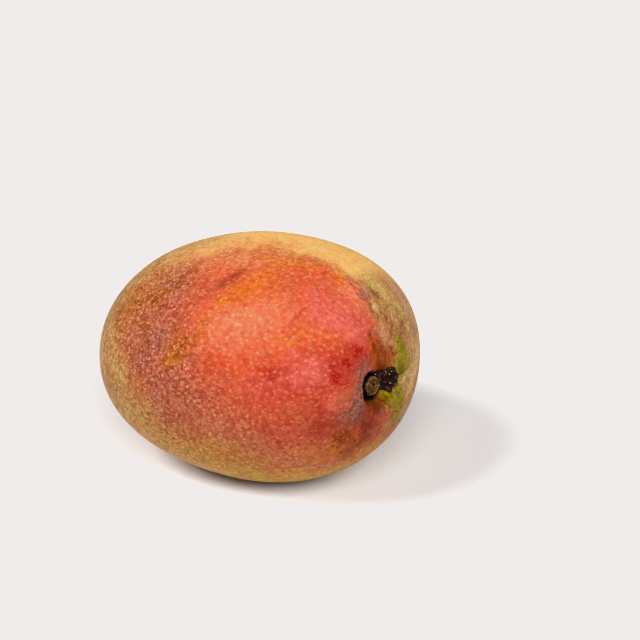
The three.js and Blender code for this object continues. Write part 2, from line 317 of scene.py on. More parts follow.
maps = {
    "blush": blush,
    # 0 is deep crimson, a half is scarlet and 1 is pale salmon; the pale salmon middle is partly a
    # painted sheen.
    "coral": painted(
        0.5,
        (0.55, (17, -38, 67.5), 13, 9, 15),
        (0.22, (40, -24, 69), 8, 7, 19),
        (0.2, (46.5, -18, 67), 6, 4, 20),
        (0.3, (37.4, -5.1, 73.6), 5, 3, 15),
        (0.25, (6, -42, 62), 9, 8, 0),
        (0.10, (-2, -20, 77), 25, 9, 20),
        (0.60, (-4, -13, 78.5), 20, 5, 5),
        (0.25, (38, -12, 72), 10, 5, 0),
        (-0.42, (49.8, -33.1, 55.5), 8.4, 6.2, 83),
        (-0.5, (33.4, -44.4, 52.5), 7, 5, 0),
        (-0.2, (44, -38.5, 53.5), 6, 6, 0),
        (-0.15, (41.5, -36, 59.5), 7, 4, 0),
        (0.2, (22, -29, 72.4), 9, 5, 0),
        (-0.45, (53, -24, 58.5), 6, 4, 10),
        (-0.12, (50.5, -18.5, 62.5), 5, 2.4, 10),
        (0.35, (42.8, -9.5, 70.5), 7, 3, 12),
        (-0.07, (42, -42.6, 46), 16, 7, -8),
        (-0.19, (25, -46, 34), 30, 9, 0),
        (0.35, (-23, -26, 71), 12, 6, 50),
        (-0.32, (54.8, -27, 35.5), 7, 5, -42),
        (0.4, (50.8, -35.8, 45.8), 4, 3, 30),
        (0.12, (17.6, -50, 33.5), 10, 7, 0),
        (-0.45, (56.5, -16.5, 32), 5, 3.4, 0),
        (0.6, (-27, -45.4, 51), 7, 7, 0),
    ),
    "pink": painted(
        0,
        (0.95, (42, -39, 55.5), 9, 6, -22),
        (0.9, (43, -24, 67), 9, 5, 20),
        (-0.5, (50, -33.6, 54.3), 5, 4, 83),
        (0.3, (50.4, -36.4, 44.6), 6, 4, 30),
        (0.5, (33, -20, 72), 9, 6, 20),
        (0.4, (49.1, -12.8, 65.9), 5, 3, 10),
        (0.5, (46.5, -18, 67), 7, 4, 20),
        (0.4, (50.5, -19.2, 63.2), 4, 3, 0),
        (0.3, (40, -14, 71.7), 6, 4, 20),
        (0.4, (30, -45, 50), 12, 7, 0),
        (0.15, (-17, -30, 72), 7, 9, 62),
        (0.2, (56.3, -16, 31.5), 8, 4.5, 7),
        (0.3, (17, -41, 64), 6, 4, 52),
    ),
    "orange": painted(
        0,
        (0.6, (13, -25, 75.5), 17, 6, 70),
        (0.2, (6, -23, 76.5), 9, 5, 70),
        (0.3, (1.9, -43.3, 63.3), 7, 5, 50),
        (0.3, (-8.7, -39.1, 66.9), 6, 5, 50),
        (0.3, (17.6, -50, 33.5), 10, 7, 0),
        (1.2, (-3, -48, 57), 6, 3, 54),
        (0.45, (35, -35, 64), 8, 5, 37),
        (0.6, (-12, -22.5, 76), 5, 3, 70),
        (0.5, (5.5, -33.6, 71.5), 5, 3, 78),
        (0.8, (33, -5, 75.5), 10, 2.6, -40),
        (0.7, (15, -9.5, 79), 13, 3.5, 26),
        (0.5, (53, -26, 28.7), 8, 6, -85),
        (0.45, (50, -33, 29), 7, 5, -40),
        (0.5, (46, -33, 24), 12, 5, -60),
        (0.45, (40, -39, 24), 14, 5, -75),
        (0.9, (56.4, -14.8, 31.4), 4.5, 2.6, 0),
        (0.7, (51.5, -20, 23.5), 12, 4, 90),
    ),
    "brown": painted(
        0,
        (0.3, (52.5, -29.5, 31.5), 9, 6, -37),
        (0.25, (49.3, -33, 28.8), 6, 5, 0),
        (0.4, (51, -34, 34), 5, 3.4, 0),
        (1.2, (57.5, -21.8, 40.2), 4.4, 2.2, 80),
        (0.30, (55.5, -22, 33), 6, 4, 60),
        (0.45, (57.3, -13, 36), 3, 2, 0),
        (0.35, (56.8, -8.8, 33), 4.5, 3, 0),
        (0.4, (57.2, -21.6, 37.2), 2.6, 1.0, 60),
        (1.0, (-34.5, -35, 60), 9, 7, 56),
        (1.0, (56.6, -18.8, 53.2), 4, 1.5, 90),
        (0.25, (55.5, -17, 56), 6, 4, 60),
        (0.35, (54.5, -13, 57.5), 6, 4, 83),
        (0.5, (53.2, -18.4, 60.4), 6, 1.3, 5),
        (0.8, (-4.5, -48, 56.6), 7, 3.4, 54),
        (0.15, (54, -18.2, 59.6), 5, 1.6, 12),
        (0.9, tuple(tip_place + ORIGIN_SHIFT), 1.6, 1.6),
    ),
    "dusk": painted(
        0.08,
        (0.5, (-14, -46, 58), 7, 5, 43),
        (0.35, (-5, -48, 54), 8, 8, 0),
        (0.35, (-17, -30, 72), 6, 7, 62),
        (-0.3, (-24, -12, 75.5), 14, 6, 0),
        (0.1, (56.8, -18, 34), 5, 4.5, 0),
        (0.4, (4, -51, 43), 14, 10, 0),
        (0.15, (17.6, -50, 33.5), 9, 7, 0),
        (-0.35, (51, -31, 31), 9, 7, 0),
        (-0.15, (30, -30, 68), 20, 16, 30),
    ) + 0.72 * (1 - soft_edge(x, -27, 10)) * (1 - 0.6 * soft_edge(z, 69, 79))
    * (1 - soft_edge(y, -12, 14))
    + 0.34 * low_down(26, 56),
    # A mauve bloom of rubbed wax beside the stem, its dark end towards the cavity painted shade.
    "haze_and_shade": painted(
        0,
        (1.0, (54.1, -26.6, 54.2), 3.4, 3.0, -60),
        (1.2, (54.8, -28.8, 48.8), 4, 3.0, 90),
        (1.2, (54.9, -29.8, 43.4), 4, 3.0, 45),
        (1.0, (54.2, -31, 39), 3.6, 3.0, 29),
        (0.6, (51, -35, 42.5), 5, 3, 60),
        (0.4, (53, -34, 38.5), 4, 3, 30),
        (0.55, (57.5, -19.8, 37.9), 2.4, 1.5, 0),
        (0.5, (57, -16.2, 35), 1.8, 1.4, 0),
    ),
    # Sap stain round the button, and painted shadow in the cavity, reaching further on the near
    # side.
    "stain_and_shadow": 1 - soft_edge(stem_distance / (5.1 + 1.4 * stem_near), 0.66, 1.06),
    "lime": painted(
        0,
        (1.4, (55.8, -4.6, 55.9), 4, 2.6, 79),
        (0.9, (57.2, -4.4, 51.2), 4, 3.2, -55),
        (0.8, (58, -8.6, 49), 3.4, 2.2, -20),
        (-1.2, (57.9, -4.8, 42.6), 3.4, 2.6, 60),
        (1.2, (57.7, -5.5, 48.9), 5, 3, 0),
        (0.6, (57.4, -10.5, 52.2), 3, 2.5, 0),
        (1.3, (58.3, -16.5, 41.4), 6, 3.0, 51),
        (1.4, (58.2, -10, 40), 5, 4.2, 29),
        (1.2, (57.2, -7.5, 35.6), 5, 3.4, -56),
        (1.2, (56.3, -8.9, 31), 4.5, 3, -50),
    ),
    # The streaked ground round the stem end: yellow-olive, red-brown, rosy and pale parts of it.
    "mottle": (
        soft_edge(x, 30, 42) * soft_edge(beyond, -5, 1) * (1 - soft_edge(ragged_y, 12, 38))
    ),
    "olive": painted(
        0,
        (0.9, (40.5, 5.0, 71.2), 9, 3.6, 30),
        (0.6, (47, 5.5, 66), 7, 4.5, 33),
        (0.5, (52.6, 6.8, 57.7), 8, 3, 56),
        (0.5, (57, -4, 50), 5, 4, 20),
        (0.8, (58, -6, 45.2), 4, 2.2, 20),
        (0.7, (56.1, 3.5, 47.5), 5, 3, 0),
        (0.8, (50.1, 9.8, 59.9), 5, 2, 10),
        (0.7, (55, -7.6, 28), 4, 2.2, 0),
    ),
    "russet": painted(
        0.05,
        (0.30, (38, -2.5, 73.2), 7, 2.2, 15),
        (0.35, (49, -7.9, 66), 4, 3, 0),
        (0.45, (48.8, 0.5, 65), 6, 3, 21),
        (0.42, (53, -3, 61), 8, 4, 21),
        (0.45, (41.9, 0.3, 71), 5, 2, 20),
        (0.5, (53.4, 0.5, 58.6), 6, 3, 30),
        (0.35, (55.4, -14.5, 57.2), 5, 4, 9),
        (0.5, (48.5, -5.7, 66.5), 3.4, 1.0, 15),
    ),
    "rosy": painted(
        0,
        (0.9, (33.9, 17.5, 71.2), 13, 3.4, 32),
        (0.8, (46.5, 14.5, 63.5), 10, 3, 33),
        (0.8, (43.8, -4.2, 70.2), 6, 2.2, 12),
        (0.5, (55, -13.6, 58.4), 1.4, 1.2, 83),
        (0.4, (55.4, -9.2, 57.2), 1.4, 1.2, 83),
        (0.3, (53, -9, 61), 7, 3, 20),
        (0.6, (51, 0.6, 62.7), 3, 2, 20),
        (0.8, (50.3, 0.5, 63.7), 2.6, 1.4, 10),
        (0.8, (52.9, -2, 60.7), 2.4, 1.0, 10),
        (0.7, (52.8, -11, 62), 4, 1.6, -5),
    ),
    "cream": painted(
        0,
        (0.45, (57.8, -5, 43.4), 3.4, 2.2, 33),
        (1.0, (56.4, 3.2, 42.1), 10, 3.5, 55),
        (0.5, (46.2, 3.7, 67.2), 5, 2.4, 30),
        (0.7, (42.9, 7.4, 69), 6, 3.5, 30),
        (0.5, (51, -0.2, 63), 4, 2.5, 20),
        (0.65, (46.3, -5.4, 68.4), 2.4, 1.2, 0),
        (0.5, (51.4, -9.4, 63.6), 4, 1.2, -10),
        (0.7, (52.9, 12, 47.5), 9, 4, 31),
        (0.8, (46.2, -5.8, 68.4), 3.4, 1.6, 12),
        (0.6, (55.2, -2.5, 31), 8, 2.2, 30),
    ),
    # Brown-gold ground above the button, mauve beside the edge of the red, and darker scrapes and
    # streaks, with painted shade over the lower part of the fruit.
    "bronze": painted(
        0,
        (1.0, (55.6, -18.5, 56.2), 6, 5, 20),
        (1.0, (54.6, -22.8, 56.4), 4, 3.5, 20),
        (0.8, (53.7, -17, 60), 4, 3, 10),
        (0.8, (57.1, -13, 53.6), 5, 4, 0),
        (0.25, (53, -12, 62), 8, 3, 10),
    ),
    "mauve": painted(
        0,
        (0.75, (42.2, -5, 71), 3.6, 2.2, 15),
        (0.35, (35, -2.6, 74.2), 6, 2, 15),
        (0.5, (45, -8, 69), 7, 2.2, 12),
        (0.6, (54.4, -23.6, 56), 3.4, 2.6, 0),
        (0.6, (52.6, -15.8, 62.2), 6, 1.6, 5),
        (0.5, (55.3, -27.6, 37), 4, 2.6, 30),
    ),
    "bruise_and_shade": painted(
        0,
        (0.4, (45, -3, 69.2), 4, 2.5, 20),
        (0.6, (43, -0.2, 70.4), 3, 1.1, 40),
        (0.6, (46.6, -8.5, 68.1), 2.2, 0.7, -8),
        (0.65, (50.2, -4.7, 64.7), 3.0, 0.8, 5),
        (0.6, (47.3, 3, 66.2), 3, 0.8, 73),
        (0.6, (52, 3.6, 60.1), 3.4, 0.8, -5),
        (0.6, (52.6, -4.9, 61.7), 2.6, 0.9, 0),
        (0.6, (53.5, -8, 60), 2.4, 0.8, -5),
        (0.6, (31.2, -29.7, 69.5), 7.7, 1.1, 87),
        (0.7, (2.2, -26.1, 75.4), 7.5, 1.8, 79),
        (0.8, (58.1, -18.6, 42.4), 3.4, 1.4, 30),
        (0.7, (55.6, -25.2, 35.5), 6, 4.5, 60),
        (1.0, (57.9, -7.8, 48.3), 3, 1.8, 0),
        (0.5, (58.3, -11, 41.5), 3, 2, 0),
        (0.6, (56.8, -18, 52.8), 3.5, 1.3, 90),
        (0.8, (56.7, -26, 42.5), 2.6, 2, 0),
        (0.5, (57.4, -22, 40.2), 3, 1.8, 80),
        (0.3, (49.6, -28.5, 25), 6, 5, 0),
        (0.35, (48.5, -38, 39), 7, 5, 0),
        (0.35, (46, -39.5, 35), 6, 5, 0),
        (0.3, (6, -23, 76.5), 8, 5, 70),
        (0.3, (1.9, -43.3, 63.3), 7, 5, 50),
        (0.3, (8.7, -48.1, 55.6), 7, 5, 0),
        (0.3, (-8.7, -39.1, 66.9), 6, 5, 50),
        (0.25, (-28.4, -34.1, 64.9), 6, 5, 50),
        (0.2, (-9, -51.2, 45.9), 8, 6, 0),
        (0.2, (24.5, -48.8, 45), 10, 6, 0),
        (0.12, (42, -43, 40.5), 8, 6, 0),
        # These last three, and the rise low on the left below them, are painted shade on the lower
        # fruit.
        (0.2, (22, -41, 17), 20, 6, 0),
        (0.7, (52.6, -24.5, 28.2), 7, 3.4, 70),
        (0.5, (48.5, -27.5, 23.5), 6, 3, 70),
    ) + 0.3 * low_down(34, 50) * (1 - soft_edge(x, -10, 12)),
    # The bare cheek over the top, and the golden cheek behind it.
    "bare": (
        soft_edge(beyond, -4, 6) * soft_edge(x + 8 * wander, -38, -2)
        * (1 - soft_edge(x, 32, 46)) * (1 - soft_edge(ragged_y, 8, 38))
    ),
    "gold": soft_edge(ragged_y, 4, 36),
    # Amber ground low on the fruit, which also sets the painted shade there, and an ochre place
    # near the tip.
    "amber_and_low_shade": (
        low_down(16, 44) * soft_edge(x, -30, 14)
        + 0.5 * soft_edge(x, 38, 50) * low_down(26, 36)
        + painted(0, (0.75, (-43.5, -24, 60), 11, 7, 60))
    ),
}
maps["dots"] = (
    (1 - 0.8 * maps["mottle"]) * (1 - 0.85 * maps["bare"]) * (0.65 + 0.35 * soft_edge(z, 34, 56))
    * soft_edge(stem_distance, 7, 20) * (1 - np.clip(maps["lime"], 0, 1))
    * (1 - 0.4 * maps["gold"]) * (1 - 0.3 * soft_edge(-x, 34, 54))
)
# The maps are kept on the skin three by three.
MAP_GROUPS = (
    ("reds", "blush", "coral", "pink"), ("warms", "orange", "brown", "dusk"),
    ("marks", "haze_and_shade", "stain_and_shadow", "lime"), ("grounds", "bare", "gold", "amber_and_low_shade"),
    ("stem_end", "mottle", "olive", "russet"), ("pales", "rosy", "cream", "dots"),
    ("touches", "bronze", "mauve", "bruise_and_shade"),
)

# Where the pores lie, counted in pores: wide apart in the middle, close at the tip, and drawn
# out towards the stem.
PORE_SPACING = {"stem": 1.4, "middle": 1.6, "tip": 0.95}
STEM_STRETCH = 1.9
STEM_RADIUS = 9
LENGTH_PER_ANGLE = 55
MEAN_RADIUS = 46
STEM_TO_MIDDLE = (0.4, 1.0)
MIDDLE_TO_TIP = (1.1, 2.0)
STRETCH_FADE = (0.3, 1.1)
LEAST_CLIMB = 0.3
ANGLE_STEPS = 400
angles = np.linspace(0, math.pi, ANGLE_STEPS)
spacing = PORE_SPACING["stem"] + (
    PORE_SPACING["middle"] - PORE_SPACING["stem"]
) * soft_edge(angles, *STEM_TO_MIDDLE)
spacing += (PORE_SPACING["tip"] - PORE_SPACING["middle"]) * soft_edge(angles, *MIDDLE_TO_TIP)
radius = np.hypot(MEAN_RADIUS * np.sin(angles), STEM_RADIUS * (1 - soft_edge(angles, 0, 1)))
radius = radius / spacing
stretch = 1 + (STEM_STRETCH - 1) * (1 - soft_edge(angles, *STRETCH_FADE))
speed = LENGTH_PER_ANGLE / (spacing * stretch)
slope = np.gradient(radius, angles)
speed = np.sqrt(np.maximum(speed**2 - slope**2, (LEAST_CLIMB * speed) ** 2))
height = np.cumsum(speed) * (angles[1] - angles[0])
ring = np.interp(polar, angles, radius)
pore_place = np.stack([
    ring * np.cos(turned), ring * np.sin(turned), np.interp(polar, angles, height)
], axis=-1)

for vertex in fruit_mesh.verts:
    vertex.co *= MM
fruit = finished_piece("mango_skin", fruit_mesh)
for name, *parts in MAP_GROUPS:
    keep_on(fruit, name, np.stack([maps[part] for part in parts], axis=-1))
keep_on(fruit, "pores", pore_place)


def finish_tree(name):
    """A new material with an empty tree, and its Principled shader joined to the output."""
    material = bpy.data.materials.new(name)
    material.use_nodes = True
    tree = material.node_tree
    tree.nodes.clear()
    output = tree.nodes.new("ShaderNodeOutputMaterial")
    shader = tree.nodes.new("ShaderNodeBsdfPrincipled")
    tree.links.new(shader.outputs["BSDF"], output.inputs["Surface"])
    return material, tree, shader


def feed(socket, value):
    """Joins a socket to another socket, or sets its value. A colour is three numbers."""
    if isinstance(value, bpy.types.NodeSocket):
        socket.id_data.links.new(value, socket)
    elif socket.type == "RGBA":
        socket.default_value = (*value, 1)
    else:
        socket.default_value = value


def reckon(operation, *values, clamp=False):
    """A Math node on the values, at least one of which is a socket."""
    tree = next(v for v in values if isinstance(v, bpy.types.NodeSocket)).id_data
    made = tree.nodes.new("ShaderNodeMath")
    made.operation = operation
    made.use_clamp = clamp
    for socket, value in zip(made.inputs, values):
        feed(socket, value)
    return made.outputs[0]


def fade(value, low, high, start=0.0, end=1.0):
    """A value that goes smoothly from start at low to end at high."""
    tree = value.id_data
    made = tree.nodes.new("ShaderNodeMapRange")
    made.interpolation_type = "SMOOTHSTEP"
    for key, number in (("From Min", low), ("From Max", high), ("To Min", start), ("To Max", end)):
        feed(made.inputs[key], number)
    feed(made.inputs["Value"], value)
    return made.outputs["Result"]


def tint(under, over, amount, how="MIX"):
    """One colour laid over another by an amount."""
    tree = next(v for v in (amount, over, under) if isinstance(v, bpy.types.NodeSocket)).id_data
    made = tree.nodes.new("ShaderNodeMix")
    made.data_type = "RGBA"
    made.blend_type = how
    made.clamp_factor = True
    feed(made.inputs[0], amount)
    feed(made.inputs[6], under)
    feed(made.inputs[7], over)
    return made.outputs[2]


def grain(place, scale, detail, roughness=0.5):
    """Noise around 0.5 at a place; scale is in cycles per unit of the place."""
    made = place.id_data.nodes.new("ShaderNodeTexNoise")
    feed(made.inputs["Vector"], place)
    made.inputs["Scale"].default_value = scale
    made.inputs["Detail"].default_value = detail
    made.inputs["Roughness"].default_value = roughness
    return made.outputs["Fac"]


def even_grain(place, scale, detail, roughness=0.5):
    """Noise around 0, as much below it as above."""
    return reckon("SUBTRACT", grain(place, scale, detail, roughness), 0.5)


def kept(tree, name):
    """The three numbers that a piece keeps at each of its points."""
    layer = tree.nodes.new("ShaderNodeAttribute")
    layer.attribute_name = name
    return layer.outputs["Vector"]


def split(tree, name):
    """The three parts of a map on the skin."""
    parts = tree.nodes.new("ShaderNodeSeparateXYZ")
    feed(parts.inputs[0], kept(tree, name))
    return parts.outputs[0], parts.outputs[1], parts.outputs[2]


def part_of(colour, index):
    """One of the three numbers of a colour or a place."""
    parts = colour.id_data.nodes.new("ShaderNodeSeparateXYZ")
    feed(parts.inputs[0], colour)
    return parts.outputs[index]


def swayed(place, scale, amount):
    """A place pushed about by noise, so that what is laid on it isn't regular."""
    tree = place.id_data
    made = tree.nodes.new("ShaderNodeTexNoise")
    feed(made.inputs["Vector"], place)
    made.inputs["Scale"].default_value = scale
    made.inputs["Detail"].default_value = 1
    push = tree.nodes.new("ShaderNodeVectorMath")
    push.operation = "MULTIPLY_ADD"
    feed(push.inputs[0], made.outputs["Color"])
    push.inputs[1].default_value = (amount, amount, amount)
    feed(push.inputs[2], place)
    return push.outputs[0]


PORE_DISORDER = 0.95
FAINTEST_PORE = 0.15


def pored(place, scale, near, far):
    """Soft dots, 1 in their middles, each with a strength of its own."""
    cells = place.id_data.nodes.new("ShaderNodeTexVoronoi")
    feed(cells.inputs["Vector"], place)
    cells.inputs["Scale"].default_value = scale
    cells.inputs["Randomness"].default_value = PORE_DISORDER
    strength = fade(part_of(cells.outputs["Color"], 0), 0, 1, FAINTEST_PORE, 1)
    dot = fade(cells.outputs["Distance"], near, far, 1, 0)
    return reckon("MULTIPLY", dot, strength), cells.outputs["Distance"]


def raised(shader, height, strength, depth):
    """Raises and sinks a surface by a height; depth is in millimetres."""
    bump = shader.id_data.nodes.new("ShaderNodeBump")
    bump.inputs["Strength"].default_value = strength
    bump.inputs["Distance"].default_value = depth * MM
    feed(bump.inputs["Height"], height)
    feed(shader.inputs["Normal"], bump.outputs["Normal"])


SKIN_OCHRE = (0.66, 0.43, 0.130)
SKIN_AMBER = (0.60, 0.30, 0.040)
SKIN_GOLD = (0.90, 0.54, 0.022)
SKIN_BEIGE = (1.0, 0.60, 0.185)
SKIN_TAN = (0.64, 0.335, 0.118)
SKIN_OLIVE = (0.80, 0.58, 0.165)
SKIN_RUSSET = (0.40, 0.130, 0.040)
SKIN_BRONZE = (0.48, 0.110, 0.026)
SKIN_MAUVE = (0.38, 0.140, 0.090)
SKIN_ROSY = (0.73, 0.35, 0.21)
SKIN_CREAM = (0.80, 0.52, 0.170)
SKIN_SOOT = (0.10, 0.065, 0.018)
SKIN_CRIMSON = (0.46, 0.006, 0.007)
SKIN_SCARLET = (0.81, 0.118, 0.042)
SKIN_SALMON_AND_SHEEN = (0.93, 0.245, 0.115)
SKIN_ORANGE = (0.84, 0.19, 0.022)
SKIN_PINK = (0.80, 0.140, 0.100)
SKIN_BROWN = (0.32, 0.060, 0.002)
SKIN_DUSK = (0.515, 0.172, 0.106)
SKIN_UMBER = (0.56, 0.210, 0.022)
SKIN_HAZE_AND_SHADE = (0.23, 0.085, 0.055)
SKIN_RUBBED = (0.43, 0.190, 0.135)
SKIN_LIME = (0.45, 0.335, 0.001)
SKIN_GREEN = (0.17, 0.16, 0.002)
SKIN_STAIN_AND_SHADOW = (0.010, 0.005, 0.003)
SKIN_SCORCH_AND_SHADE = (0.13, 0.045, 0.010)
PORE_LIFT = (0.28, 0.084, 0.074)
PORE_PALE = (0.24, 0.110, 0.082)
PORE_BRIGHT = (0.40, 0.24, 0.18)
NET_SHADE = (0.72, 0.56, 0.50)
GRAIN_SHADE = (0.62, 0.48, 0.42)
CLOUD_SHADE = (0.86, 0.71, 0.67)
BRUISE_AND_PAINTED_SHADE = (0.62, 0.52, 0.50)
LOW_SHADE = (0.75, 0.92, 1.0)
WAX_IOR = 1.08
WAX_ROUGHNESS = (0.38, 0.50)
HAZE_ROUGHNESS = 0.12
SKIN_RELIEF = 0.45
SKIN_RELIEF_DEPTH = 0.12
# How fine the noises are, in waves to the metre.
FINE_WAVES = 1500
SMALL_WAVES = 620
PATCHY_WAVES = 260
BROAD_WAVES = 110
WIDE_WAVES = 45
# The pores and the streaks lie in the pores' own space, where 1 is from one pore to the next.
STREAK_SWAY = (0.4, 0.9)
STREAK_DRAW = (1, 1, 0.32)
STREAK_WAVES = 0.8
BRUSHED_WAVES = 1.4
FINE_STREAK_WAVES = 2.6
PORE_SWAY = (0.9, 0.5)
PORE_EDGE = (0.08, 0.44)
SMALL_PORES = 1.9
SMALL_PORE_EDGE = (0.05, 0.45)
BETWEEN_PORES = (0.22, 0.66)

skin, tree, shader = finish_tree("mango_skin")
coordinates = tree.nodes.new("ShaderNodeTexCoord").outputs["Object"]
pore_space = kept(tree, "pores")
blush_map, coral_map, pink_map = split(tree, "reds")
orange_map, brown_map, dusk_map = split(tree, "warms")
haze_and_shade_map, stain_and_shadow_map, lime_map = split(tree, "marks")
bare_map, gold_map, amber_and_low_shade_map = split(tree, "grounds")
mottle_map, olive_map, russet_map = split(tree, "stem_end")
rosy_map, cream_map, dots_map = split(tree, "pales")
bronze_map, mauve_map, bruise_and_shade_map = split(tree, "touches")

fine = even_grain(coordinates, FINE_WAVES, 2)
small = even_grain(coordinates, SMALL_WAVES, 3)
patchy = even_grain(coordinates, PATCHY_WAVES, 4, 0.6)
broad = even_grain(coordinates, BROAD_WAVES, 4, 0.6)
wide = even_grain(coordinates, WIDE_WAVES, 3, 0.6)
drawn_out = tree.nodes.new("ShaderNodeVectorMath")
drawn_out.operation = "MULTIPLY"
feed(drawn_out.inputs[0], swayed(pore_space, *STREAK_SWAY))
drawn_out.inputs[1].default_value = STREAK_DRAW
streak_space = drawn_out.outputs[0]
streak = even_grain(streak_space, STREAK_WAVES, 5, 0.7)
brushed = even_grain(streak_space, BRUSHED_WAVES, 4, 0.6)
fine_streak = even_grain(streak_space, FINE_STREAK_WAVES, 3, 0.6)
dusky = fade(dusk_map, 0.2, 0.8)

irregular = swayed(pore_space, *PORE_SWAY)
pore, pore_distance = pored(irregular, 1, *PORE_EDGE)
small_pore = pored(irregular, SMALL_PORES, *SMALL_PORE_EDGE)[0]
pore = reckon("MAXIMUM", pore, reckon("MULTIPLY", small_pore, fade(dusk_map, 0, 0.8, 0.5, 0.8)))
between = fade(pore_distance, *BETWEEN_PORES)

# The ground under the blush.
ground = tint(SKIN_OCHRE, SKIN_AMBER, amber_and_low_shade_map)
ground = tint(ground, SKIN_GOLD, gold_map)
ground = tint(ground, SKIN_BEIGE, reckon("MULTIPLY_ADD", broad, 0.4, bare_map))
olive = fade(reckon("MULTIPLY_ADD", patchy, 2.0, olive_map), 0.1, 0.8)
mottled = tint(SKIN_TAN, SKIN_OLIVE, olive)
bronze = fade(reckon("MULTIPLY_ADD", brushed, 2.0, bronze_map), 0.1, 0.8)
mottled = tint(mottled, SKIN_BRONZE, bronze)
rosy = fade(reckon("MULTIPLY_ADD", brushed, 2.4, rosy_map), 0.15, 0.8)
mottled = tint(mottled, SKIN_ROSY, rosy)
russet = reckon("MULTIPLY_ADD", brushed, 3.6, russet_map)
mottled = tint(mottled, SKIN_RUSSET, fade(russet, 0.15, 1.0, 0, 0.85))
rings = fade(reckon("ABSOLUTE", small), 0.0, 0.05, 0.75, 0)
sooty = fade(reckon("MULTIPLY_ADD", streak, 2.0, olive_map), 0.1, 0.6)
mottled = tint(mottled, SKIN_SOOT, reckon("MULTIPLY", rings, sooty))
mottled = tint(mottled, SKIN_SOOT, fade(fine_streak, 0.05, 0.20, 0, 0.6))
mottled = tint(mottled, SKIN_SOOT, fade(streak, 0.03, 0.16, 0, 0.4))
ground = tint(ground, mottled, mottle_map)
cream = fade(reckon("MULTIPLY_ADD", brushed, 2.4, cream_map), 0.2, 0.9)
ground = tint(ground, SKIN_CREAM, reckon("MULTIPLY", cream, mottle_map))

# The blush, from crimson through scarlet to salmon, with orange and pink in it.
coral = reckon("MULTIPLY_ADD", patchy, 1.1, coral_map)
coral = reckon("MULTIPLY_ADD", broad, 0.9, coral)
pigment = tint(SKIN_CRIMSON, SKIN_SCARLET, reckon("MULTIPLY", coral, 2.0, clamp=True))
# Pale salmon, which in the middle of the cheek is partly a painted sheen.
paleness_and_sheen = reckon("MULTIPLY_ADD", coral, 2.0, -1.0, clamp=True)
pigment = tint(pigment, SKIN_SALMON_AND_SHEEN, paleness_and_sheen)
pink = reckon("MULTIPLY_ADD", broad, -1.3, pink_map)
pink = reckon("MULTIPLY_ADD", small, 0.6, pink)
pigment = tint(pigment, SKIN_PINK, fade(pink, 0.1, 0.9))
orange = reckon("MULTIPLY_ADD", wide, 1.3, orange_map)
orange = reckon("MULTIPLY_ADD", patchy, 1.9, orange)
pigment = tint(pigment, SKIN_ORANGE, fade(orange, 0.15, 0.8))
red = reckon("MULTIPLY_ADD", patchy, 0.9, blush_map)
red = reckon("MULTIPLY_ADD", streak, reckon("MULTIPLY", mottle_map, 2.2), red)
red = reckon("MULTIPLY_ADD", reckon("SUBTRACT", between, 0.4), 0.24, red)
red = reckon("MULTIPLY", red, fade(blush_map, 0.0, 0.15))
colour = tint(ground, pigment, red)

# Dusky mauve and umber over the tip end, and a purer mauve at the edge of the red.
dusk = reckon("MULTIPLY_ADD", patchy, 1.1, dusk_map)
dusk = reckon("MULTIPLY_ADD", broad, 0.7, dusk)
dusk = reckon("MULTIPLY", dusk, fade(blush_map, 0.0, 0.8, 0.1, 1))
umber = reckon("MULTIPLY_ADD", broad, 1.2, reckon("MULTIPLY", patchy, 0.6))
umber = fade(reckon("MULTIPLY_ADD", brown_map, 0.85, umber), -0.05, 0.35)
umber = reckon("MULTIPLY", umber, dusky)
colour = tint(colour, tint(SKIN_DUSK, SKIN_UMBER, umber), dusk)
mauve = fade(reckon("MULTIPLY_ADD", brushed, 3.8, mauve_map), 0.2, 0.9, 0, 0.8)
mauve = reckon("MULTIPLY", mauve, fade(mauve_map, 0.02, 0.2))
colour = tint(colour, SKIN_MAUVE, mauve)

# Green round the stem, brown where the sun has tanned the skin, and a haze of rubbed wax whose
# dark end by the cavity is painted shade.
lime = fade(reckon("MULTIPLY_ADD", brushed, 3.2, lime_map), 0.2, 0.95)
lime = reckon("MULTIPLY", lime, fade(lime_map, 0.02, 0.3))
leafy = tint(SKIN_LIME, SKIN_GREEN, fade(streak, -0.08, 0.14, 0.1, 0.85))
leafy = tint(leafy, SKIN_OLIVE, fade(brushed, 0.02, 0.2, 0, 0.5))
colour = tint(colour, leafy, lime)
brown = fade(reckon("MULTIPLY_ADD", streak, 3.0, brown_map), 0.15, 0.9)
brown = reckon("MULTIPLY", brown, fade(brown_map, 0.02, 0.2))
brown = reckon("MULTIPLY", brown, fade(dusk_map, 0.2, 0.8, 1, 0.35))
colour = tint(colour, SKIN_BROWN, brown)
rubbed_wax_and_shade = tint(SKIN_HAZE_AND_SHADE, SKIN_RUBBED, fade(brushed, -0.13, 0.13))
haze_and_shade = reckon("MULTIPLY", haze_and_shade_map, fade(patchy, -0.2, 0.1, 0.55, 1))
colour = tint(colour, rubbed_wax_and_shade, reckon("MULTIPLY", haze_and_shade, 0.85, clamp=True))

# Clouds, bruises and painted shade low on the fruit, the darker net between the pores, the finest
# grain, the pale pores, and the black stain that sap has left round the button, which is also
# painted shadow down in the cavity.
pore_show = reckon("MULTIPLY", pore, dots_map)
pore_show = reckon("MULTIPLY", pore_show, fade(patchy, -0.2, 0.2, 0.6, 1.3))
pore_light = tint(PORE_LIFT, PORE_PALE, paleness_and_sheen)
pore_light = tint(pore_light, PORE_BRIGHT, dusky)
cloud = reckon("MULTIPLY_ADD", patchy, 0.8, broad)
cloud = reckon("MULTIPLY", fade(cloud, -0.14, 0.20), fade(bare_map, 0, 1, 1, 0.4))
colour = tint(colour, CLOUD_SHADE, cloud, "MULTIPLY")
